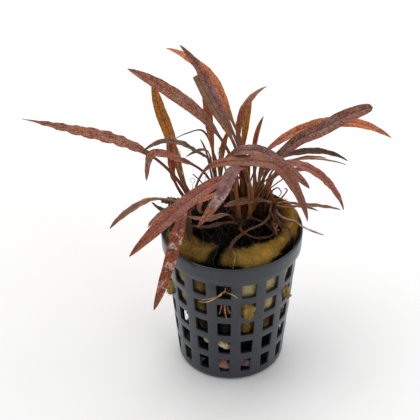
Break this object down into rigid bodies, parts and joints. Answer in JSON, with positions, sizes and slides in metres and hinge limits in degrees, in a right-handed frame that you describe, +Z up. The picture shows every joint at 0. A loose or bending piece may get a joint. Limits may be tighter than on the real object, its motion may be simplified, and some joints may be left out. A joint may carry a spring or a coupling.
{
  "type": "potted aquarium plant",
  "caption": "Young tiger cryptocoryne in a dark net pot: narrow mottled red, ochre and grey leaves on crowns that rise from a wrapped rock wool plug with a root ball.",
  "frame": {"origin": "centre of the pot's flat underside, on the pot's axis, where it stands", "axes": "+Z up along the pot's axis, +X to the viewer's right in the picture, +Y away from the viewer"},
  "size_m": [0.1282, 0.0664, 0.1161],
  "materials": {
    "pot_plastic": "dark slate moulded plastic, satin",
    "wool": "damp olive-yellow mineral fibre, fuzzy",
    "root_mass": "matted dark roots, damp",
    "rhizome": "brown, matt, ringed with old leaf scars",
    "leaf_red": "red-brown leaf with dark tiger mottling, wet",
    "leaf_ochre": "orange to olive-ochre leaf with dark speckles, wet",
    "leaf_grey": "purple-grey leaf with pale speckles, wet gloss",
    "root": "pale brown root, matt"
  },
  "bodies": {
    "root": {"net_pot": "pot_plastic", "rock_wool": "wool", "root_ball": "root_mass", "crown_left": "rhizome", "crown_middle": "rhizome", "crown_centre": "rhizome", "crown_right": "rhizome", "crown_side": "rhizome", "leaf_upper_left": "leaf_red", "leaf_tall_orange": "leaf_ochre", "leaf_tall_dark": "leaf_grey", "leaf_tall_cut": "leaf_grey", "leaf_upright_right": "leaf_red", "leaf_folded_right": "leaf_ochre", "leaf_front_big": "leaf_grey", "leaf_front_centre": "leaf_grey", "leaf_front_under": "leaf_red", "leaf_low_band": "leaf_red", "leaf_low_front": "leaf_red", "leaf_yellow_upright": "leaf_ochre", "leaf_red_upright": "leaf_red", "leaf_yellow_second": "leaf_ochre", "leaf_far_left": "leaf_red", "leaf_front_arch": "leaf_red", "leaf_front_hanging": "leaf_ochre", "leaf_left_droop": "leaf_red", "leaf_left_small": "leaf_red", "leaf_orange_upright": "leaf_ochre", "leaf_kinked": "leaf_red", "leaf_grey_left": "leaf_grey", "leaf_thin_arc": "leaf_grey", "leaf_narrow_grey": "leaf_grey", "leaf_spike": "leaf_red", "leaf_short_yellow": "leaf_ochre", "leaf_right_arch": "leaf_red", "leaf_right_spike": "leaf_ochre", "leaf_right_big": "leaf_grey", "leaf_right_orange": "leaf_ochre", "leaf_right_grey": "leaf_grey", "leaf_right_grey_low": "leaf_grey", "leaf_right_thin": "leaf_grey", "leaf_right_arching": "leaf_red", "leaf_right_brown": "leaf_red", "leaf_low_brown": "leaf_ochre", "leaf_low_right": "leaf_red", "leaf_low_right_small": "leaf_red", "leaf_silver": "leaf_grey", "leaf_small_red": "leaf_red", "leaf_fallen_front": "leaf_red", "leaf_fallen_right": "leaf_red", "root_window_left": "root", "root_window_right": "root", "root_side": "root", "root_curl": "root"}
  },
  "joints": []
}
